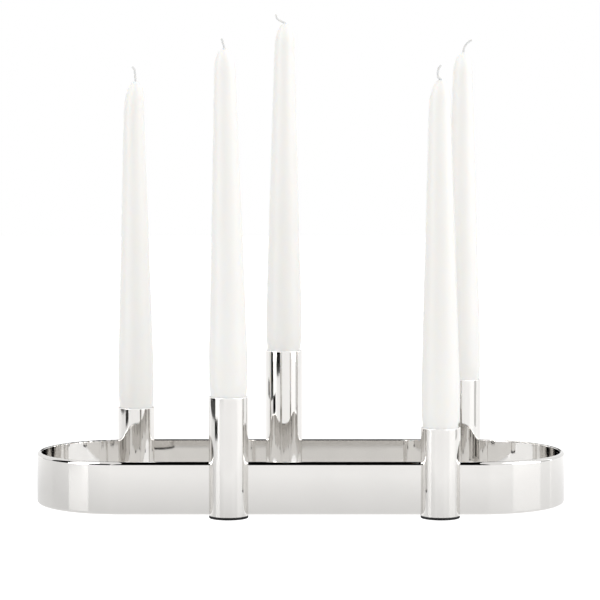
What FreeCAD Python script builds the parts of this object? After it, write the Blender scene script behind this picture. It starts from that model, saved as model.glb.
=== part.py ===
"""Tabletop candelabra: a racetrack band of polished strip standing on edge, with five
round cups astride its wall in three heights, and a taper candle in each cup.

Frame: origin on the floor under the middle of the band, X along the band, Y from the
front run to the back run, Z up. Lengths are in millimetres and angles in degrees.
"""
import FreeCAD, Part
import os
from math import pi

import Sketcher
from FreeCAD import Vector

SIZES = {
    "band_length": 346.0,
    "band_width": 120.0,
    "band_height": 33.5,
    "band_thickness": 3.0,
    "band_outer_edge_radius": 1.9,
    "band_inner_edge_radius": 0.8,
    "tube_diameter": 25.0,
    "tube_wall": 1.0,
    "tube_edge_radius": 0.3,
    "cup_step": 19.5,
    "socket_depth": 20.0,
    "seat_thickness": 2.0,
    "front_left_inset": 67.5,
    "front_right_inset": 25.0,
    "back_left_inset": 0.5,
    "back_centre_inset": 101.5,
    "back_right_inset": 2.5,
    "foot_thickness": 1.7,
    "foot_margin": 0.1,
    "foot_edge_radius": 0.25,
    "foot_plug_height": 6.0,
    "foot_plug_clearance": 0.05,
    "foot_slot_clearance": 0.2,
    "front_candle_length": 238.0,
    "back_candle_length": 242.0,
    "candle_clearance": 0.3,
    "candle_foot_draft": 0.3,
    "candle_swell": 0.75,
    "candle_swell_rise": 9.0,
    "candle_straight_rise": 28.0,
    "candle_shoulder_radius": 6.75,
    "candle_shoulder_drop": 14.5,
    "candle_crown_radius": 4.9,
    "candle_crown_drop": 6.5,
    "candle_tip_radius": 1.9,
    "candle_crown_rounding": 8.0,
    "wick_diameter": 1.6,
    "wick_rise": 9.0,
    "wick_bend_radius": 16.0,
}

# Each cup: its run of the band, the end its inset is measured from, how many steps it
# stands above the low cups, and the way its wick leans (degrees from +X).
CUPS = {
    "front_left": ("front", "left", 1, 190),
    "front_right": ("front", "right", 0, 20),
    "back_left": ("back", "left", 0, 175),
    "back_centre": ("back", "left", 2, 170),
    "back_right": ("back", "right", 1, 350),
}

HALF_RUN = "(sizes.band_length - sizes.band_width) / 2"
WALL_LINE = "(sizes.band_width - sizes.band_thickness) / 2"
BORE_RADIUS = "(sizes.tube_diameter / 2 - sizes.tube_wall)"
LOW_CUP_HEIGHT = "(sizes.band_height + sizes.seat_thickness + sizes.socket_depth)"

doc = FreeCAD.newDocument("candelabra")
nodes = []


def make_sheet():
    """The driving dimensions, one row each: name, value, alias."""
    sheet = doc.addObject("Spreadsheet::Sheet", "sizes")
    for row, (alias, value) in enumerate(SIZES.items(), start=1):
        sheet.set(f"A{row}", alias.replace("_", " "))
        sheet.set(f"B{row}", str(value))
        sheet.setAlias(f"B{row}", alias)
    doc.recompute()


def add_node(thing, name):
    """Label a sub-part with its node name and list it for export."""
    thing.Label = name
    nodes.append(thing)


def make_body(name):
    """An empty body."""
    return doc.addObject("PartDesign::Body", name)


def make_sketch(body, name, role="XY_Plane"):
    """A sketch on one of the body's own origin planes."""
    sketch = body.newObject("Sketcher::SketchObject", f"{body.Name}_{name}")
    plane = next(item for item in body.Origin.OriginFeatures if item.Role == role)
    sketch.AttachmentSupport = (plane, "")
    sketch.MapMode = "FlatFace"
    return sketch


def bind(thing, **expressions):
    """Bind properties to expressions; a double underscore stands for a dot."""
    for path, expression in expressions.items():
        thing.setExpression(path.replace("__", "."), expression)


def name_size(sketch, constraint, name, expression):
    """Add a dimension to a sketch and bind it to an expression."""
    index = sketch.addConstraint(constraint)
    sketch.renameConstraint(index, name)
    sketch.setExpression(f"Constraints.{name}", expression)


def add_circle(sketch, name, radius):
    """A circle about the sketch's origin."""
    circle = sketch.addGeometry(Part.Circle(Vector(0, 0, 0), Vector(0, 0, 1), 10.0))
    sketch.addConstraint(Sketcher.Constraint("Coincident", circle, 3, -1, 1))
    name_size(sketch, Sketcher.Constraint("Radius", circle, 10.0), name, radius)


def add_racetrack(sketch, name, half_run, radius):
    """Two parallel runs joined by half circles, symmetrical about the sketch's origin."""
    run, rad = 100.0, 50.0
    up = Vector(0, 0, 1)
    back, right, front, left = sketch.addGeometry([
        Part.LineSegment(Vector(run, rad, 0), Vector(-run, rad, 0)),
        Part.ArcOfCircle(Part.Circle(Vector(run, 0, 0), up, rad), -pi / 2, pi / 2),
        Part.LineSegment(Vector(-run, -rad, 0), Vector(run, -rad, 0)),
        Part.ArcOfCircle(Part.Circle(Vector(-run, 0, 0), up, rad), pi / 2, 3 * pi / 2),
    ])
    for one, end, other, start in (
        (back, 2, left, 1), (left, 2, front, 1), (front, 2, right, 1), (right, 2, back, 1),
    ):
        sketch.addConstraint(Sketcher.Constraint("Tangent", one, end, other, start))
    sketch.addConstraint(Sketcher.Constraint("Symmetric", left, 3, right, 3, -1, 1))
    sketch.addConstraint(Sketcher.Constraint("PointOnObject", right, 3, -1))
    sketch.addConstraint(Sketcher.Constraint("Equal", left, right))
    name_size(sketch, Sketcher.Constraint("Radius", right, rad), f"{name}_radius", radius)
    name_size(sketch, Sketcher.Constraint("DistanceX", -1, 1, right, 3, run),
              f"{name}_half_run", half_run)


def add_band_section(sketch, clearance="0"):
    """The band's wall seen from above, grown on both sides by a clearance."""
    add_racetrack(sketch, "outer", HALF_RUN, f"sizes.band_width / 2 + {clearance}")
    add_racetrack(sketch, "inner", HALF_RUN,
                  f"sizes.band_width / 2 - sizes.band_thickness - {clearance}")


def add_outline(sketch, corners):
    """A closed outline of straight sides through corners given as expressions."""
    count = len(corners)
    start = [Vector(10.0 + index, 10.0 + index * index, 0) for index in range(count)]
    sides = sketch.addGeometry([
        Part.LineSegment(start[index], start[(index + 1) % count]) for index in range(count)
    ])
    for index, side in enumerate(sides):
        following = sides[(index + 1) % count]
        sketch.addConstraint(Sketcher.Constraint("Coincident", side, 2, following, 1))
        across, along = corners[index]
        name_size(sketch, Sketcher.Constraint("DistanceX", -1, 1, side, 1, 10.0),
                  f"corner_{index}_across", across)
        if along == "0":
            sketch.addConstraint(Sketcher.Constraint("PointOnObject", side, 1, -1))
        else:
            name_size(sketch, Sketcher.Constraint("DistanceY", -1, 1, side, 1, 10.0),
                      f"corner_{index}_along", along)


def pad(body, name, sketch, height):
    """Raise a sketch along its normal."""
    feature = body.newObject("PartDesign::Pad", f"{body.Name}_{name}")
    feature.Profile = sketch
    bind(feature, Length=height)
    return feature


def pocket_upwards(body, name, sketch, height):
    """Cut a sketch out of the body along its normal, and make sure that it cuts."""
    doc.recompute()
    before = body.Shape.Volume
    feature = body.newObject("PartDesign::Pocket", f"{body.Name}_{name}")
    feature.Profile = sketch
    feature.Reversed = True
    bind(feature, Length=height)
    doc.recompute()
    if not feature.Shape.Volume < before:
        raise RuntimeError(f"{feature.Name} removed nothing")


def round_edges(body, name, base, wanted, radius):
    """Round the edges of a feature that a test picks, and return the rounded feature."""
    doc.recompute()
    picked = [f"Edge{number}" for number, edge in enumerate(base.Shape.Edges, start=1)
              if wanted(edge)]
    feature = body.newObject("PartDesign::Fillet", f"{body.Name}_{name}")
    feature.Base = (base, picked)
    bind(feature, Radius=radius)
    return feature


def level_edge(edge):
    """True for an edge that lies in one horizontal plane."""
    return edge.BoundBox.ZLength < 0.01


def place(thing, across="0", depth="0", height="0"):
    """Bind a sub-part's place."""
    bind(thing, Placement__Base__x=across, Placement__Base__y=depth,
         Placement__Base__z=height)


def cup_place(name):
    """Where a cup's axis meets the floor plan, as two expressions."""
    side, end, _, _ = CUPS[name]
    across = f"{HALF_RUN} - sizes.{name}_inset"
    if end == "left":
        across = f"-({across})"
    depth = WALL_LINE if side == "back" else f"-{WALL_LINE}"
    return across, depth


def candle_length(name):
    """The candles on the two runs were cut to slightly different lengths."""
    return f"sizes.{CUPS[name][0]}_candle_length"


def cup_height(name):
    """Length of a cup's tube: the low cup's seat rests on the band's top edge."""
    return f"{LOW_CUP_HEIGHT} + {CUPS[name][2]} * sizes.cup_step"


def level_edge_at(half_width):
    """A test for the level edges of the racetrack that is this far from its middle line."""
    return lambda edge: level_edge(edge) and abs(
        max(edge.BoundBox.YMax, -edge.BoundBox.YMin) - half_width) < 0.01


def make_band():
    """The strip's outer edges are rolled well over and its inner ones only broken."""
    body = make_body("band")
    section = make_sketch(body, "section")
    add_band_section(section)
    wall = pad(body, "wall", section, "sizes.band_height")
    outside = SIZES["band_width"] / 2
    inside = outside - SIZES["band_thickness"]
    rolled = round_edges(body, "rolled_edges", wall, level_edge_at(outside),
                         "min(sizes.band_outer_edge_radius; 0.63 * sizes.band_thickness)")
    round_edges(body, "broken_edges", rolled, level_edge_at(inside),
                "min(sizes.band_inner_edge_radius; 0.3 * sizes.band_thickness)")
    place(body, height="sizes.foot_thickness")
    add_node(body, "band")
    return body


def make_tube(name, band):
    """A round cup slotted up from below, and cut to the band's own rounded top edge."""
    blank = make_body(f"blank_{name}")
    section = make_sketch(blank, "section")
    add_circle(section, "outside", "sizes.tube_diameter / 2")
    add_circle(section, "bore", BORE_RADIUS)
    wall = pad(blank, "wall", section, cup_height(name))
    doc.recompute()
    top = wall.Shape.BoundBox.ZMax
    round_edges(blank, "eased_rim", wall,
                lambda edge: level_edge(edge) and abs(edge.BoundBox.ZMax - top) < 0.01,
                "sizes.tube_edge_radius")
    across, depth = cup_place(name)
    slot = make_sketch(blank, "slot_section")
    bind(slot, AttachmentOffset__Base__x=f"-({across})",
         AttachmentOffset__Base__y=f"-({depth})")
    add_band_section(slot)
    pocket_upwards(blank, "slot", slot, "sizes.band_height / 2")
    place(blank, across, depth, "sizes.foot_thickness")
    tube = doc.addObject("Part::Cut", f"tube_{name}")
    tube.Base = blank
    tube.Tool = band
    doc.recompute()
    if not tube.Shape.Volume < blank.Shape.Volume:
        raise RuntimeError(f"The band did not cut tube_{name}")
    add_node(tube, f"tube_{name}")


def make_seat(name):
    """The disc across the tube that the candle stands on."""
    seat = doc.addObject("Part::Cylinder", f"seat_{name}")
    bind(seat, Radius=BORE_RADIUS, Height="sizes.seat_thickness")
    across, depth = cup_place(name)
    place(seat, across, depth,
          f"sizes.foot_thickness + {cup_height(name)} - sizes.socket_depth - sizes.seat_thickness")
    add_node(seat, f"seat_{name}")


def make_foot(name):
    """A disc under the tube with a plug that is split to clear the band."""
    body = make_body(f"foot_{name}")
    disc = make_sketch(body, "disc_section")
    add_circle(disc, "rim", "sizes.tube_diameter / 2 - sizes.foot_margin")
    disc_pad = pad(body, "disc", disc, "sizes.foot_thickness")
    doc.recompute()
    round_edges(body, "eased_sole", disc_pad,
                lambda edge: level_edge(edge) and edge.BoundBox.ZMax < 0.01,
                "sizes.foot_edge_radius")
    plug = make_sketch(body, "plug_section")
    bind(plug, AttachmentOffset__Base__z="sizes.foot_thickness")
    add_circle(plug, "plug", f"{BORE_RADIUS} - sizes.foot_plug_clearance")
    pad(body, "plug", plug, "sizes.foot_plug_height")
    across, depth = cup_place(name)
    slot = make_sketch(body, "slot_section")
    bind(slot, AttachmentOffset__Base__x=f"-({across})",
         AttachmentOffset__Base__y=f"-({depth})",
         AttachmentOffset__Base__z="sizes.foot_thickness")
    add_band_section(slot, "sizes.foot_slot_clearance")
    pocket_upwards(body, "slot", slot, "sizes.foot_plug_height")
    place(body, across, depth)
    add_node(body, f"foot_{name}")


def make_candle(name):
    """A taper with a drafted foot, a straight butt, a long taper and a crowned tip."""
    body = make_body(f"candle_{name}")
    rim_radius = f"{BORE_RADIUS} - sizes.candle_clearance"
    butt_radius = f"{rim_radius} + sizes.candle_swell"
    core = "sizes.wick_diameter / 2"
    length = candle_length(name)
    profile = make_sketch(body, "profile", "XZ_Plane")
    add_outline(profile, [
        (core, "0"),
        (f"{rim_radius} - sizes.candle_foot_draft", "0"),
        (rim_radius, "sizes.socket_depth"),
        (butt_radius, "sizes.socket_depth + sizes.candle_swell_rise"),
        (butt_radius, "sizes.socket_depth + sizes.candle_straight_rise"),
        ("sizes.candle_shoulder_radius", f"{length} - sizes.candle_shoulder_drop"),
        ("sizes.candle_crown_radius", f"{length} - sizes.candle_crown_drop"),
        ("sizes.candle_tip_radius", length),
        (core, length),
    ])
    turned = body.newObject("PartDesign::Revolution", f"{body.Name}_turned")
    turned.Profile = profile
    turned.ReferenceAxis = (profile, ["V_Axis"])
    turned.Angle = 360.0
    doc.recompute()
    top = turned.Shape.BoundBox.ZMax
    shoulder = top - SIZES["candle_shoulder_drop"]
    crown = top - SIZES["candle_crown_drop"]
    round_edges(body, "rounded_crown", turned,
                lambda edge: level_edge(edge) and
                min(abs(edge.BoundBox.ZMax - height) for height in (shoulder, crown)) < 0.01,
                "sizes.candle_crown_rounding")
    place_on_seat(body, name)
    add_node(body, f"candle_{name}")


def make_wick(name):
    """A cotton wick through the whole candle, with its free end bent over."""
    body = make_body(f"wick_{name}")
    section = make_sketch(body, "section")
    add_circle(section, "strand", "sizes.wick_diameter / 2")
    path = make_sketch(body, "path", "XZ_Plane")
    rise, bend = 100.0, 20.0
    straight, hook = path.addGeometry([
        Part.LineSegment(Vector(0, 0, 0), Vector(0, rise, 0)),
        Part.ArcOfCircle(Part.Circle(Vector(bend, rise, 0), Vector(0, 0, 1), bend), 2.6, pi),
    ])
    path.addConstraint(Sketcher.Constraint("Coincident", straight, 1, -1, 1))
    path.addConstraint(Sketcher.Constraint("Vertical", straight))
    path.addConstraint(Sketcher.Constraint("Tangent", straight, 2, hook, 2))
    name_size(path, Sketcher.Constraint("DistanceY", straight, 1, straight, 2, rise),
              "inside", candle_length(name))
    name_size(path, Sketcher.Constraint("DistanceY", straight, 2, hook, 1, bend / 2),
              "rise", "sizes.wick_rise")
    name_size(path, Sketcher.Constraint("Radius", hook, bend), "bend",
              "sizes.wick_bend_radius")
    strand = body.newObject("PartDesign::AdditivePipe", f"{body.Name}_strand")
    strand.Profile = section
    strand.Spine = (path, ["Edge1", "Edge2"])
    body.Placement = FreeCAD.Placement(
        Vector(0, 0, 0), FreeCAD.Rotation(Vector(0, 0, 1), CUPS[name][3]))
    place_on_seat(body, name)
    add_node(body, f"wick_{name}")


def place_on_seat(thing, name):
    """Bind a sub-part's place to the top of its cup's seat."""
    across, depth = cup_place(name)
    place(thing, across, depth,
          f"sizes.foot_thickness + {cup_height(name)} - sizes.socket_depth")


def check_and_export():
    """Every object sound, then one file for each node."""
    doc.recompute()
    for item in doc.Objects:
        if "Invalid" in item.State or "Error" in item.State:
            raise RuntimeError(f"{item.Name} did not compute: {item.State}")
    os.makedirs("parts", exist_ok=True)
    for node in nodes:
        shape = node.Shape
        if shape.isNull() or not shape.isValid() or shape.Volume <= 0:
            raise RuntimeError(f"{node.Label} has no sound shape")
        shape.exportStep(f"parts/{node.Label}.step")
        box = shape.BoundBox
        print(f"{node.Label}: {len(shape.Solids)} solid, {shape.Volume:.1f} mm3, "
              f"z {box.ZMin:.2f} to {box.ZMax:.2f}")


make_sheet()
strip = make_band()
for cup in CUPS:
    make_tube(cup, strip)
    make_seat(cup)
    make_foot(cup)
    make_candle(cup)
    make_wick(cup)
check_and_export()
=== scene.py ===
"""Looks of a tabletop candelabra: polished steel band and cups, wax tapers, cotton wicks.

Laid out as an add-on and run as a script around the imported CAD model. Metres throughout;
sizes written in millimetres go through MM.
"""
import math

import bmesh
import bpy
from bpy.props import FloatProperty, FloatVectorProperty, IntProperty, PointerProperty
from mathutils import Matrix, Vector, noise


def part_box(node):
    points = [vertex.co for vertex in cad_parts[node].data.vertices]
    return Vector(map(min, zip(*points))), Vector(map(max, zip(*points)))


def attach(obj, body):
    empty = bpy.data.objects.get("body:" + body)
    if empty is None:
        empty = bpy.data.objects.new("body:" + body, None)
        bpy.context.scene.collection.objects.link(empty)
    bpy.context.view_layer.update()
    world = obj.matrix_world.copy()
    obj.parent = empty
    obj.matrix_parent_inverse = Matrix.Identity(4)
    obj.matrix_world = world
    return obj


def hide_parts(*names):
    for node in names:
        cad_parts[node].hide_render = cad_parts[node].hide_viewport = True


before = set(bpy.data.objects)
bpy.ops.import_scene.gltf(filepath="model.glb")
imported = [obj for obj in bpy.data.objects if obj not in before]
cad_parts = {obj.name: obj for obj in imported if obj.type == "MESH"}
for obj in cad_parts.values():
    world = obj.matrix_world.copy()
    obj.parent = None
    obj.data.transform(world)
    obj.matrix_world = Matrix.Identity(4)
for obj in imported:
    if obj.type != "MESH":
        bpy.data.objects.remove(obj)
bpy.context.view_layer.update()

bl_info = {
    "name": "Tabletop Candelabra",
    "version": (1, 0, 0),
    "blender": (4, 5, 0),
    "location": "View3D > Sidebar > Candelabra",
    "description": "Finishes, tapers, wicks and studio for a racetrack candelabra",
    "category": "Add Mesh",
}

MM = 0.001
CUPS = ("front_left", "front_right", "back_left", "back_centre", "back_right")

# How far each taper bows sideways at its shoulder and how its tip is pushed over, both as
# (x, y) in millimetres.
CANDLE_BOW = {
    "front_left": (-2.0, 0.3),
    "front_right": (-1.5, 0.2),
    "back_left": (-0.9, -0.3),
    "back_centre": (0.5, 0.2),
    "back_right": (-0.7, 0.3),
}
CANDLE_TIP = {
    "front_left": (-0.3, 0.1),
    "front_right": (0.9, -0.2),
    "back_left": (1.4, 0.2),
    "back_centre": (0.5, -0.3),
    "back_right": (0.4, 0.2),
}

# The free end of each wick, as (x, z) in millimetres from where it leaves its candle.
WICK_ENDS = {
    "front_left": ((-0.3, 1.8), (-0.8, 3.4), (-1.2, 4.9), (-1.7, 6.0)),
    "front_right": ((-1.6, 1.2), (-1.9, 4.2), (-1.3, 7.0), (0.1, 9.2)),
    "back_left": ((-0.2, 3.4), (-0.5, 6.6), (-1.1, 8.8), (-2.4, 9.6)),
    "back_centre": ((-1.6, 0.9), (-3.9, 2.0), (-5.6, 3.6), (-6.3, 6.2)),
    "back_right": ((0.5, 2.6), (1.5, 5.0), (3.3, 6.9), (5.8, 8.6)),
}

# A wick: where its line starts below the candle's tip, how far its free end strays to and
# fro in millimetres, and the thickness of a strand over the wick's own and at its ends.
WICK_ROOT = 14.0 * MM
WICK_STRAY = 0.25
WICK_STEPS = 12
STRAND_SHARE = 0.56
STRAND_ENDS = (0.35, 0.8, 1.0)
STRAND_SIDES = 9

# The strip's wall, how deep the satin of a cut rim goes and how sharply it ends (per metre),
# and a height that no rim reaches, for the band.
BAND_WALL = 3.0 * MM
RIM_DEPTH = 0.4 * MM
RIM_SHARPNESS = 4000.0
NO_RIM = 1.0

CAMERA_PLACE = (-0.0005, -1.400, 0.2165)
CAMERA_PITCH = math.radians(3.37)
CAMERA_LENS = 128.5
FLOOR_REACH = 6.0
FLOOR_LIFT = 0.35

# The object's shade on the floor, in reflections: the shift that brings its middle to the
# origin, its proportions, and how far out it starts to fade and is gone.
SHADE_SHIFT = (0.10, 0.0, 0.0)
SHADE_SHAPE = (0.45, 1.0, 0.0)
SHADE_FADE = (0.07, 0.26)

# Cards that stand upright round the object: two floor places, height of the lower and upper
# edge, brightness. The black ones are the gaps between the lamps.
CARDS = {
    "left_lamp": ((-1.10, -0.28), (-0.86, -0.76), 0.0, 1.6, 8.0),
    "right_lamp": ((0.87, -0.74), (1.13, 0.34), 0.0, 1.6, 4.4),
    "left_gap": ((-0.64, -0.17), (-0.64, 0.10), 0.0, 0.6, 0.0),
    "left_front_gap": ((-0.65, -0.53), (-0.365, -0.77), 0.0, 0.6, 0.0),
    "left_board": ((-0.55, -0.15), (-0.55, 0.30), 0.006, 0.023, 0.09),
    "left_block": ((-0.465, -0.10), (-0.42, -0.25), 0.0, 0.017, 0.0),
    "right_board": ((0.50, -0.05), (0.50, 0.08), 0.0, 0.6, 0.75),
}

# The black gap that runs up behind the camera, over the object and down behind it. Each
# length of it has two level edges, given as half width, place in depth, height.
GAPS = {
    "camera_side_gap": ((0.6, -1.6, 0.12), (0.34, -1.6, 2.0)),
    "overhead_gap": ((0.34, -1.6, 2.0), (0.36, 1.5, 2.0)),
    "back_gap": ((0.32, 1.5, 0.18), (0.36, 1.5, 2.0)),
}


class SteelSettings(bpy.types.PropertyGroup):
    tint: FloatVectorProperty(
        name="Tint", description="Reflection colour of the polished steel", subtype="COLOR",
        size=3, min=0.0, max=1.0, default=(0.735, 0.722, 0.703))
    polish: FloatProperty(
        name="Polish", description="Roughness where the steel is clean", subtype="FACTOR",
        min=0.0, max=1.0, default=0.025)
    haze: FloatProperty(
        name="Haze", description="Roughness added by handling marks", subtype="FACTOR",
        min=0.0, max=1.0, default=0.05)
    ripple: FloatProperty(
        name="Ripple", description="Height of the long waves left by rolling and polishing",
        subtype="DISTANCE", unit="LENGTH", min=0.0, default=0.012 * MM)
    rim_roughness: FloatProperty(
        name="Rim roughness", description="Roughness added where the cups were cut off",
        subtype="FACTOR", min=0.0, max=0.9, default=0.6)
    seat_roughness: FloatProperty(
        name="Seat roughness", description="Roughness of the turned seats in the cups",
        subtype="FACTOR", min=0.0, max=1.0, default=0.32)


class RubberSettings(bpy.types.PropertyGroup):
    colour: FloatVectorProperty(
        name="Colour", description="Colour of the rubber feet", subtype="COLOR", size=3,
        min=0.0, max=1.0, default=(0.006, 0.006, 0.007))
    roughness: FloatProperty(
        name="Roughness", description="Roughness of the moulded rubber", subtype="FACTOR",
        min=0.0, max=1.0, default=0.62)


class CandleSettings(bpy.types.PropertyGroup):
    wax: FloatVectorProperty(
        name="Wax", description="Colour of the clean wax", subtype="COLOR", size=3,
        min=0.0, max=1.0, default=(0.865, 0.86, 0.845))
    depth: FloatProperty(
        name="Light depth", description="How far light spreads inside the wax",
        subtype="DISTANCE", unit="LENGTH", min=0.0, default=4.0 * MM)
    unevenness: FloatProperty(
        name="Unevenness", description="Height of the soft waves left by dipping",
        subtype="DISTANCE", unit="LENGTH", min=0.0, default=0.16 * MM)
    cotton: FloatVectorProperty(
        name="Cotton", description="Colour of the raw cotton wick", subtype="COLOR", size=3,
        min=0.0, max=1.0, default=(0.82, 0.82, 0.81))
    strands: IntProperty(
        name="Strands", description="Cotton strands twisted into one wick", min=2, max=6,
        default=3)
    lay: FloatProperty(
        name="Lay", description="Length of one full twist of the strands",
        subtype="DISTANCE", unit="LENGTH", min=0.5 * MM, default=4.2 * MM)


class StageSettings(bpy.types.PropertyGroup):
    floor: FloatVectorProperty(
        name="Floor", description="Colour of the plain floor", subtype="COLOR", size=3,
        min=0.0, max=1.0, default=(0.93, 0.93, 0.93))
    floor_shade: FloatProperty(
        name="Floor shade", description="How much darker the floor is beside the band",
        subtype="FACTOR", min=0.0, max=1.0, default=0.27)
    # Painted light: a glow on the floor that the steel reflects, in place of light that the
    # lamps and the steel walls throw on it.
    painted_floor_glow: FloatProperty(
        name="Floor glow", description="Brightness that the reflected floor has of its own",
        min=0.0, default=0.36)
    sky: FloatProperty(
        name="Surround", description="Brightness of the white surround", min=0.0,
        default=1.0)
    key: FloatProperty(
        name="Key light", description="Power of the large overhead softbox",
        subtype="POWER", unit="POWER", min=0.0, default=3.5)
    side: FloatProperty(
        name="Side light", description="Power of the softbox on the right",
        subtype="POWER", unit="POWER", min=0.0, default=3.0)


class Wire:
    """A shader socket that can stand in sums: each operator adds the node that works it out."""

    def __init__(self, shader, socket):
        self.shader = shader
        self.socket = socket

    def _maths(self, operation, first, second):
        vector = any(isinstance(term, Wire) and term.socket.type == "VECTOR"
                     for term in (first, second))
        if any(isinstance(term, Wire) and term.socket.type == "RGBA"
               for term in (first, second)):
            return self.shader.blend(1.0, first, second, operation)
        kind = "ShaderNodeVectorMath" if vector else "ShaderNodeMath"
        if vector:
            first, second = (term if isinstance(term, (Wire, tuple)) else (term,) * 3
                             for term in (first, second))
        return self.shader.node(kind, {"operation": operation}, {0: first, 1: second})

    def __add__(self, other):
        return self._maths("ADD", self, other)

    def __radd__(self, other):
        return self._maths("ADD", other, self)

    def __sub__(self, other):
        return self._maths("SUBTRACT", self, other)

    def __rsub__(self, other):
        return self._maths("SUBTRACT", other, self)

    def __mul__(self, other):
        return self._maths("MULTIPLY", self, other)

    def __rmul__(self, other):
        return self._maths("MULTIPLY", other, self)


class Shader:
    """One material's nodes."""

    def __init__(self, name, diffuse):
        self.material = bpy.data.materials.new(name)
        self.material.use_nodes = True
        self.material.diffuse_color = (*diffuse, 1.0)
        self.tree = self.material.node_tree
        self.tree.nodes.clear()

    def node(self, kind, settings, inputs, output=0):
        """Add a node: its settings first, then the value or link of each socket."""
        made = self.tree.nodes.new(kind)
        for name, value in settings.items():
            if name == "stops":
                self._set_stops(made.color_ramp, value)
            else:
                setattr(made, name, value)
        for key, value in inputs.items():
            if isinstance(value, Wire):
                self.tree.links.new(value.socket, made.inputs[key])
            else:
                made.inputs[key].default_value = value
        return Wire(self, made.outputs[output]) if made.outputs else None

    @staticmethod
    def _set_stops(ramp, stops):
        """Greys at positions along a ramp."""
        while len(ramp.elements) < len(stops):
            ramp.elements.new(0.5)
        for element, (position, grey) in zip(ramp.elements, stops):
            element.position = position
            element.color = (grey, grey, grey, 1.0)

    def blend(self, factor, first, second, mode="MIX"):
        """Mix two colours."""
        colours = [term if isinstance(term, Wire) or len(term) == 4 else (*term, 1.0)
                   for term in (first, second)]
        return self.node("ShaderNodeMix", {"data_type": "RGBA", "blend_type": mode},
                         {0: factor, 6: colours[0], 7: colours[1]}, output=2)

    def place(self):
        """Where a point is on the object, in metres."""
        return self.node("ShaderNodeTexCoord", {}, {}, output=3)

    def noise(self, scale, detail, stretch=(1.0, 1.0, 1.0)):
        """Soft noise with a number of cells to the metre, 0 to 1."""
        return self.node("ShaderNodeTexNoise", {},
                         {"Vector": self.place() * stretch, "Scale": scale, "Detail": detail})

    def vector(self, operation, first, second=(0.0, 0.0, 0.0)):
        """Vector maths that has no operator sign."""
        return self.node("ShaderNodeVectorMath", {"operation": operation},
                         {0: first, 1: second})

    def length(self, vector):
        """How long a vector is."""
        return self.node("ShaderNodeVectorMath", {"operation": "LENGTH"}, {0: vector}, output=1)

    def ramp(self, value, *stops):
        """Grey levels along a value."""
        return self.node("ShaderNodeValToRGB", {"stops": stops}, {"Fac": value})

    def grey(self, colour):
        """A colour's brightness as a number."""
        return self.node("ShaderNodeRGBToBW", {}, {"Color": colour})

    def bump(self, height, distance, strength=1.0):
        """A normal from a height between 0 and 1 over a distance."""
        return self.node("ShaderNodeBump", {},
                         {"Height": height, "Distance": distance, "Strength": strength})

    def finish(self, inputs):
        """The surface itself."""
        surface = self.node("ShaderNodeBsdfPrincipled", {}, inputs)
        self.node("ShaderNodeOutputMaterial", {}, {"Surface": surface})
        return self.material


def polished_steel(settings, name, rim):
    """Mirror-polished stainless: long rolling waves, haze, wipe marks and a satin cut rim."""
    shader = Shader(name, settings.tint)
    height = shader.vector("MULTIPLY", shader.place(), (0.0, 0.0, 1.0))
    cut = shader.node("ShaderNodeMath", {"operation": "MULTIPLY", "use_clamp": True},
                      {0: shader.length(height) - (rim - RIM_DEPTH), 1: RIM_SHARPNESS})
    smears = shader.noise(scale=22.0, detail=3.0)
    handled = shader.grey(shader.ramp(smears, (0.45, 0.0), (0.75, 1.0)))
    wipes = shader.noise(scale=900.0, detail=2.0, stretch=(0.15, 0.15, 1.0))
    wiped = shader.grey(shader.ramp(wipes, (0.62, 0.0), (0.8, 1.0)))
    waves = shader.noise(scale=34.0, detail=1.0, stretch=(1.0, 1.0, 0.45))
    worn = tuple(channel * 0.965 for channel in settings.tint)
    polished = shader.blend(handled, settings.tint, worn)
    cut_steel = (0.94, 0.93, 0.92)
    return shader.finish({
        "Base Color": shader.blend(cut, polished, cut_steel),
        "Metallic": 1.0,
        "Roughness": settings.polish + handled * settings.haze + wiped * (settings.haze * 0.5)
        + cut * settings.rim_roughness,
        "Normal": shader.bump(waves, settings.ripple),
    })


def turned_steel(settings):
    """A seat faced on a lathe: fine rings left by the tool."""
    shader = Shader("turned_steel", settings.tint)
    grain = shader.noise(scale=4200.0, detail=1.0, stretch=(1.0, 1.0, 0.02))
    groove, ridge = (0.50, 0.50, 0.49), (0.60, 0.59, 0.58)
    return shader.finish({
        "Base Color": shader.blend(grain, groove, ridge),
        "Metallic": 1.0,
        "Roughness": settings.seat_roughness + grain * 0.12,
        "Normal": shader.bump(grain, 0.02 * MM),
    })


def moulded_rubber(settings):
    """Dull black rubber with a fine spark-eroded grain and a little dust."""
    shader = Shader("moulded_rubber", settings.colour)
    grain = shader.noise(scale=2600.0, detail=3.0)
    patches = shader.noise(scale=240.0, detail=4.0)
    dust = shader.grey(shader.ramp(patches, (0.56, 0.0), (0.82, 1.0)))
    dusty = tuple(channel + 0.02 for channel in settings.colour)
    return shader.finish({
        "Base Color": shader.blend(dust * 0.6, settings.colour, dusty),
        "Roughness": settings.roughness + grain * 0.2,
        "Specular IOR Level": 0.25,
        "Normal": shader.bump(grain, 0.03 * MM),
    })


def dipped_wax(settings):
    """Translucent white wax: clouded inside, satin outside, with faint bloom."""
    shader = Shader("dipped_wax", settings.wax)
    cloud = shader.noise(scale=38.0, detail=3.0, stretch=(1.0, 1.0, 0.4))
    bloom = shader.noise(scale=420.0, detail=3.0)
    clouding = (0.965, 0.96, 0.945)
    clouded = tuple(channel * factor for channel, factor in zip(settings.wax, clouding))
    return shader.finish({
        "Base Color": shader.blend(cloud, settings.wax, clouded),
        "Roughness": 0.42 + bloom * 0.16,
        "Subsurface Weight": 0.85,
        "Subsurface Radius": (1.0, 0.86, 0.72),
        "Subsurface Scale": settings.depth,
        "IOR": 1.44,
        "Normal": shader.bump(bloom, 0.015 * MM),
    })


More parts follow.
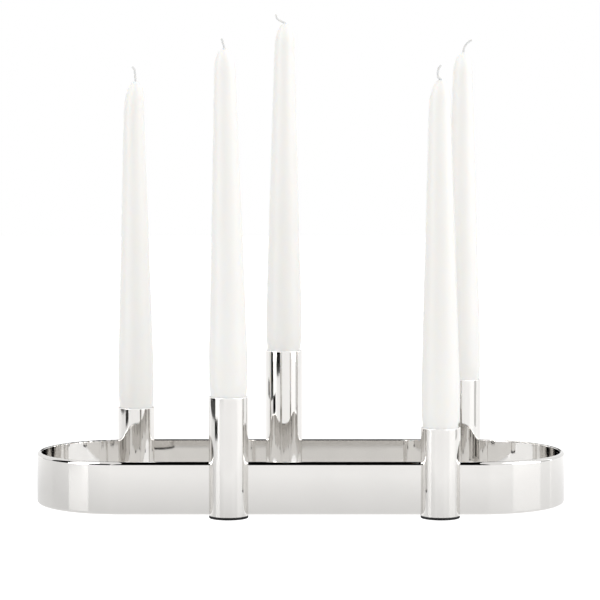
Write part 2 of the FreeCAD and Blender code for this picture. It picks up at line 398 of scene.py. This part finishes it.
def twisted_cotton(settings):
    """Raw cotton yarn stiffened with wax, with fibres along each strand."""
    shader = Shader("twisted_cotton", settings.cotton)
    fibre = shader.noise(scale=3200.0, detail=3.0, stretch=(1.0, 1.0, 0.35))
    waxed = shader.noise(scale=320.0, detail=2.0)
    shaded = tuple(channel * 0.78 for channel in settings.cotton)
    return shader.finish({
        "Base Color": shader.blend(fibre, shaded, settings.cotton),
        "Roughness": 0.72 + waxed * 0.2,
        "Sheen Weight": 0.25,
        "Subsurface Weight": 0.3,
        "Subsurface Radius": (1.0, 0.9, 0.8),
        "Subsurface Scale": 0.6 * MM,
        "Normal": shader.bump(fibre, 0.08 * MM),
    })


def paint(obj, material):
    """Give every slot of an object one material."""
    if not obj.data.materials:
        obj.data.materials.append(material)
    for index in range(len(obj.data.materials)):
        obj.data.materials[index] = material


def add_piece(name, mesh_builder, material, body, node):
    """Make a piece in mesh code that stands for a CAD node and rides on its body."""
    mesh = bpy.data.meshes.new(name)
    build = bmesh.new()
    mesh_builder(build)
    bmesh.ops.recalc_face_normals(build, faces=build.faces)
    for face in build.faces:
        face.smooth = True
    build.to_mesh(mesh)
    build.free()
    piece = bpy.data.objects.new(name, mesh)
    bpy.context.scene.collection.objects.link(piece)
    paint(piece, material)
    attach(piece, body)
    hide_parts(node)


def skin_rings(build, rings, closed):
    """Faces between rings of points; a closed skin joins its last ring to its first.

    Gives back the rings' vertices.
    """
    count = len(rings[0])
    layers = [[build.verts.new(point) for point in ring] for ring in rings]
    steps = len(layers) if closed else len(layers) - 1
    for step in range(steps):
        lower, upper = layers[step], layers[(step + 1) % len(layers)]
        for index in range(count):
            following = (index + 1) % count
            build.faces.new((lower[index], lower[following], upper[following], upper[index]))
    return layers


def smooth_step(value):
    """0 to 1 with level ends."""
    value = min(max(value, 0.0), 1.0)
    return value * value * (3.0 - 2.0 * value)


class Taper:
    """One candle's own shape: its radius and its middle at each height above its foot."""

    wick_radius = 0.8 * MM
    rim_height = 20.0 * MM
    foot_draft = 0.3 * MM
    swell_rise = 9.0 * MM
    straight_rise = 28.0 * MM
    butt_swell = 0.75 * MM
    shoulder_radius = 6.75 * MM
    crown_length = 15.0 * MM
    crown_fullness = (2.1, 0.62)
    pit_depth = 0.5 * MM
    bow_power = 1.25
    push_length = 1.6 * crown_length
    waves_round = 0.9
    waves_per_metre = 38.0
    wave_fade = 0.35

    def __init__(self, cup):
        low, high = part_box(f"candle_{cup}")
        bore_low, bore_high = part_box(f"seat_{cup}")
        self.middle = Vector(((bore_low.x + bore_high.x) / 2, (bore_low.y + bore_high.y) / 2))
        self.own_waves = Vector((len(cup) * 7.3, self.middle.x * 90.0, 0.0))
        self.foot = low.z
        self.length = high.z - low.z
        self.butt_radius = (high.x - low.x) / 2
        self.rim_radius = self.butt_radius - self.butt_swell
        self.bow = Vector(CANDLE_BOW[cup]) * MM
        self.push = Vector(CANDLE_TIP[cup]) * MM

    def radius(self, height):
        """Straight in the cup, swelling above its rim, then tapering to a crowned tip."""
        shoulder = self.length - self.crown_length
        if height < self.rim_height:
            return self.rim_radius - self.foot_draft * (1.0 - height / self.rim_height)
        swell_end = self.rim_height + self.swell_rise
        straight_end = self.rim_height + self.straight_rise
        if height < swell_end:
            share = smooth_step((height - self.rim_height) / self.swell_rise)
            return self.rim_radius + self.butt_swell * share
        if height < shoulder:
            share = max(height - straight_end, 0.0) / (shoulder - straight_end)
            return self.butt_radius + (self.shoulder_radius - self.butt_radius) * share
        share = min((height - shoulder) / self.crown_length, 1.0)
        power, root = self.crown_fullness
        width = (1.0 - share ** power) ** root
        return self.wick_radius + (self.shoulder_radius - self.wick_radius) * width

    def centre(self, height):
        """The bow starts at the rim; the push is all in the tip."""
        free = max(height - self.rim_height, 0.0) / (self.length - self.rim_height)
        crown = smooth_step((height - self.length + self.push_length) / self.push_length)
        return self.middle + self.bow * free ** self.bow_power + self.push * crown

    def point(self, height, angle, unevenness):
        """A point of the skin, with the soft waves that dipping leaves."""
        middle = self.centre(height)
        radius = self.radius(height)
        free = smooth_step((height - self.rim_height) / self.swell_rise)
        place = Vector((math.cos(angle) * self.waves_round, math.sin(angle) * self.waves_round,
                        height * self.waves_per_metre))
        wave = noise.noise(place + self.own_waves)
        fade = smooth_step((self.length - height) / (self.wave_fade * self.crown_length))
        radius += unevenness * wave * free * fade
        return Vector((middle.x + radius * math.cos(angle), middle.y + radius * math.sin(angle),
                       self.foot + height))


def candle_skin(taper, unevenness, sides=72):
    """Rings up the outside of a taper and down the wick's passage."""
    body_steps, crown_steps = 96, 30
    shoulder = taper.length - taper.crown_length
    heights = [shoulder * step / body_steps for step in range(body_steps)]
    heights += [shoulder + taper.crown_length * math.sin(math.pi / 2 * step / crown_steps)
                for step in range(crown_steps + 1)]
    angles = [2.0 * math.pi * index / sides for index in range(sides)]
    rings = [[taper.point(height, angle, unevenness) for angle in angles]
             for height in heights]
    for height in (taper.length - taper.pit_depth, taper.length / 2, 0.0):
        middle = taper.centre(height)
        rings.append([Vector((middle.x + taper.wick_radius * math.cos(angle),
                              middle.y + taper.wick_radius * math.sin(angle),
                              taper.foot + height)) for angle in angles])
    return lambda build: skin_rings(build, rings, closed=True)


def curve_through(points, per_span):
    """Points of a smooth line through the given ones."""
    line = []
    padded = [points[0] * 2 - points[1], *points, points[-1] * 2 - points[-2]]
    for index in range(len(points) - 1):
        before, start, end, after = padded[index:index + 4]
        for step in range(per_span):
            share = step / per_span
            line.append(0.5 * (
                2 * start + (end - before) * share
                + (2 * before - 5 * start + 4 * end - after) * share ** 2
                + (3 * start - before - 3 * end + after) * share ** 3))
    line.append(points[-1].copy())
    return line


def strand_skins(line, settings, radius):
    """Strands twisted round a line, each closed at both ends."""
    strand_radius = radius * STRAND_SHARE
    offset = radius - strand_radius

    def build_strands(build):
        for strand in range(settings.strands):
            travelled = 0.0
            rings = []
            side = Vector((0.0, 1.0, 0.0))
            for index, point in enumerate(line):
                before = line[max(index - 1, 0)]
                after = line[min(index + 1, len(line) - 1)]
                ahead = (after - before).normalized()
                side = (side - ahead * side.dot(ahead)).normalized()
                across = ahead.cross(side)
                travelled += (point - before).length
                turn = 2.0 * math.pi * (travelled / settings.lay + strand / settings.strands)
                middle = point + offset * (side * math.cos(turn) + across * math.sin(turn))
                ends = min(index, len(line) - 1 - index)
                taken = strand_radius * STRAND_ENDS[min(ends, len(STRAND_ENDS) - 1)]
                angles = [2 * math.pi * step / STRAND_SIDES for step in range(STRAND_SIDES)]
                rings.append([middle + taken * (side * math.cos(angle)
                                                + across * math.sin(angle))
                              for angle in angles])
            layers = skin_rings(build, rings, closed=False)
            build.faces.new(layers[0])
            build.faces.new(layers[-1])

    return build_strands


def wick_line(taper, cup):
    """A wick's middle: up its candle's own bow, then out along its free end."""
    start = taper.length - WICK_ROOT
    inside = [start + (taper.length - start) * step / 4 for step in range(5)]
    line = [Vector((*taper.centre(height), taper.foot + height)) for height in inside]
    leaves = line[-1]
    for index, (across, rise) in enumerate(WICK_ENDS[cup], start=1):
        depth = WICK_STRAY * math.sin(1.7 * index + leaves.x * 40.0)
        line.append(leaves + Vector((across, depth, rise)) * MM)
    return curve_through(line, WICK_STEPS)


class CANDELABRA_OT_steel(bpy.types.Operator):
    """Polish the band and the five cup tubes"""

    bl_idname = "candelabra.steel"
    bl_label = "Band and cups"

    def execute(self, context):
        settings = context.scene.candelabra_steel
        for node in ("band", *(f"tube_{cup}" for cup in CUPS)):
            rim = NO_RIM if node == "band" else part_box(node)[1].z
            paint(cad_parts[node], polished_steel(settings, f"polished_{node}", rim))
        return {"FINISHED"}


class CANDELABRA_OT_seats(bpy.types.Operator):
    """Face the seats inside the cups"""

    bl_idname = "candelabra.seats"
    bl_label = "Seats"

    def execute(self, context):
        material = turned_steel(context.scene.candelabra_steel)
        for cup in CUPS:
            paint(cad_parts[f"seat_{cup}"], material)
        return {"FINISHED"}


class CANDELABRA_OT_feet(bpy.types.Operator):
    """Mould the rubber feet"""

    bl_idname = "candelabra.feet"
    bl_label = "Feet"

    def execute(self, context):
        material = moulded_rubber(context.scene.candelabra_rubber)
        for cup in CUPS:
            paint(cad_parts[f"foot_{cup}"], material)
        return {"FINISHED"}


class CANDELABRA_OT_candles(bpy.types.Operator):
    """Dip the five tapers"""

    bl_idname = "candelabra.candles"
    bl_label = "Candles"

    def execute(self, context):
        settings = context.scene.candelabra_candles
        material = dipped_wax(settings)
        for cup in CUPS:
            add_piece(f"taper_{cup}", candle_skin(Taper(cup), settings.unevenness), material,
                      f"candle_{cup}", f"candle_{cup}")
        return {"FINISHED"}


class CANDELABRA_OT_wicks(bpy.types.Operator):
    """Twist the cotton wicks"""

    bl_idname = "candelabra.wicks"
    bl_label = "Wicks"

    def execute(self, context):
        settings = context.scene.candelabra_candles
        material = twisted_cotton(settings)
        for cup in CUPS:
            line = wick_line(Taper(cup), cup)
            add_piece(f"twisted_wick_{cup}", strand_skins(line, settings, Taper.wick_radius),
                      material, f"candle_{cup}", f"wick_{cup}")
        return {"FINISHED"}


def seen_floor(settings):
    """The floor as the eye sees it: lit from below as well, so that it stays pale."""
    shader = Shader("pale_floor", settings.floor)
    return shader.finish({"Base Color": (*settings.floor, 1.0), "Roughness": 0.9,
                          "Specular IOR Level": 0.0, "Emission Color": (1.0, 1.0, 1.0, 1.0),
                          "Emission Strength": FLOOR_LIFT})


def mirrored_floor(settings):
    """The floor as the steel sees it: glossy board with painted shade beside the band, not
    inside it, and a painted glow.
    """
    shader = Shader("glossy_board", settings.floor)
    place = shader.place()
    low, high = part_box("band")
    half_run = (high.x - low.x - high.y + low.y) / 2
    beyond_run = shader.vector("MAXIMUM", shader.vector("ABSOLUTE", place)
                               - (half_run, 0.0, 0.0), (0.0, 0.0, 0.0))
    track = shader.length(beyond_run)
    # Inside the band the reflected floor has no painted shade and an even painted glow.
    inside = shader.grey(shader.ramp(track, (high.y - BAND_WALL, 1.0), (high.y, 0.0)))
    reach = shader.length((place + SHADE_SHIFT) * SHADE_SHAPE)
    fades, gone = SHADE_FADE
    lit = shader.grey(shader.ramp(reach, (fades, 0.0), (gone, 1.0)))
    shaded = tuple(channel * (1.0 - settings.floor_shade) for channel in settings.floor)
    outside = shader.blend(lit, shaded, settings.floor)
    return shader.finish({"Base Color": shader.blend(inside, outside, settings.floor),
                          "Roughness": 0.8, "Specular IOR Level": 0.0, "Coat Weight": 0.13,
                          "Coat Roughness": 0.25,
                          # Painted glow: even grey inside the band, and outside it the floor's
                          # painted shade again.
                          "Emission Color": shader.blend(inside, outside, (0.84, 0.84, 0.84)),
                          "Emission Strength": settings.painted_floor_glow})


def plain_floor(settings):
    """The floor that throws light back up at the object."""
    shader = Shader("plain_floor", settings.floor)
    return shader.finish({"Base Color": (*settings.floor, 1.0), "Roughness": 0.9,
                          "Specular IOR Level": 0.0})


def add_sheet(name, corners, material):
    """A flat four-cornered surface of the studio."""
    mesh = bpy.data.meshes.new(name)
    mesh.from_pydata([Vector(corner) for corner in corners], [], [(0, 1, 2, 3)])
    sheet = bpy.data.objects.new(name, mesh)
    bpy.context.scene.collection.objects.link(sheet)
    sheet.data.materials.append(material)
    return sheet


def add_floor(name, material, rays):
    """A level square floor for one kind of ray: the camera's, a glossy or a diffuse one."""
    reach = FLOOR_REACH
    floor = add_sheet(name, [(-reach, -reach, 0), (reach, -reach, 0), (reach, reach, 0),
                             (-reach, reach, 0)], material)
    floor.visible_camera = rays == "camera"
    floor.visible_glossy = rays == "glossy"
    floor.visible_diffuse = rays == "diffuse"
    floor.visible_transmission = rays == "diffuse"


def add_card(name, corners, brightness):
    """A flat studio card of even brightness, seen only in reflections."""
    shader = Shader(name, (min(brightness, 1.0),) * 3)
    glow = shader.node("ShaderNodeEmission", {}, {"Strength": brightness})
    shader.node("ShaderNodeOutputMaterial", {}, {"Surface": glow})
    card = add_sheet(name, corners, shader.material)
    card.visible_camera = False
    card.visible_diffuse = False
    card.visible_shadow = False
    card.visible_transmission = False


def add_upright_card(name, start, end, low, high, brightness):
    """A card standing between two places on the floor."""
    add_card(name, [(*start, low), (*end, low), (*end, high), (*start, high)], brightness)


def add_gap(name, start, end):
    """A black card between two level edges."""
    (start_half, *start_line), (end_half, *end_line) = start, end
    add_card(name, [(-start_half, *start_line), (start_half, *start_line),
                    (end_half, *end_line), (-end_half, *end_line)], 0.0)


def add_softbox(name, place, target, width, depth, power):
    """A rectangular area light aimed at a point."""
    light = bpy.data.lights.new(name, "AREA")
    light.shape = "RECTANGLE"
    light.size, light.size_y = width, depth
    light.energy = power
    box = bpy.data.objects.new(name, light)
    bpy.context.scene.collection.objects.link(box)
    box.visible_glossy = False
    box.location = place
    box.rotation_euler = (Vector(target) - Vector(place)).to_track_quat("-Z", "Y").to_euler()


class CANDELABRA_OT_stage(bpy.types.Operator):
    """Set the plain pale floor, the soft light and the camera"""

    bl_idname = "candelabra.stage"
    bl_label = "Studio"

    def execute(self, context):
        settings = context.scene.candelabra_stage
        scene = context.scene
        scene.view_settings.view_transform = "Standard"
        world = scene.world or bpy.data.worlds.new("studio")
        scene.world = world
        world.use_nodes = True
        background = world.node_tree.nodes["Background"]
        background.inputs["Color"].default_value = (1.0, 1.0, 1.0, 1.0)
        background.inputs["Strength"].default_value = settings.sky
        add_floor("floor", seen_floor(settings), "camera")
        add_floor("floor_in_mirrors", mirrored_floor(settings), "glossy")
        add_floor("floor_for_light", plain_floor(settings), "diffuse")
        for name, card in CARDS.items():
            add_upright_card(name, *card)
        for name, edges in GAPS.items():
            add_gap(name, *edges)
        add_softbox("overhead_softbox", place=(0.15, 0.35, 1.3), target=(0.0, 0.0, 0.0),
                    width=1.4, depth=1.1, power=settings.key)
        add_softbox("right_softbox", place=(1.3, -0.9, 0.9), target=(0.0, 0.0, 0.15),
                    width=0.9, depth=0.9, power=settings.side)
        camera = bpy.data.objects.new("camera", bpy.data.cameras.new("camera"))
        scene.collection.objects.link(camera)
        camera.data.lens = CAMERA_LENS
        camera.location = CAMERA_PLACE
        camera.rotation_euler = (math.pi / 2 - CAMERA_PITCH, 0.0, 0.0)
        scene.camera = camera
        return {"FINISHED"}


class CANDELABRA_PT_panel(bpy.types.Panel):
    """Pieces of the candelabra, in the order they are made"""

    bl_label = "Candelabra"
    bl_idname = "CANDELABRA_PT_panel"
    bl_space_type = "VIEW_3D"
    bl_region_type = "UI"
    bl_category = "Candelabra"

    def draw(self, context):
        layout = self.layout
        for group in GROUPS:
            settings = getattr(context.scene, f"candelabra_{group}")
            box = layout.box()
            for name in settings.__annotations__:
                box.prop(settings, name)
        for operator in OPERATORS:
            layout.operator(operator.bl_idname)


GROUPS = {
    "steel": SteelSettings,
    "rubber": RubberSettings,
    "candles": CandleSettings,
    "stage": StageSettings,
}
OPERATORS = (
    CANDELABRA_OT_steel,
    CANDELABRA_OT_seats,
    CANDELABRA_OT_feet,
    CANDELABRA_OT_candles,
    CANDELABRA_OT_wicks,
    CANDELABRA_OT_stage,
)


def register():
    for kind in (*GROUPS.values(), *OPERATORS, CANDELABRA_PT_panel):
        bpy.utils.register_class(kind)
    for name, kind in GROUPS.items():
        setattr(bpy.types.Scene, f"candelabra_{name}", PointerProperty(type=kind))


def unregister():
    for name in GROUPS:
        delattr(bpy.types.Scene, f"candelabra_{name}")
    for kind in reversed((*GROUPS.values(), *OPERATORS, CANDELABRA_PT_panel)):
        bpy.utils.unregister_class(kind)


def main():
    register()
    for operator in OPERATORS:
        family, action = operator.bl_idname.split(".")
        getattr(getattr(bpy.ops, family), action)()


if __name__ == "__main__":
    main()
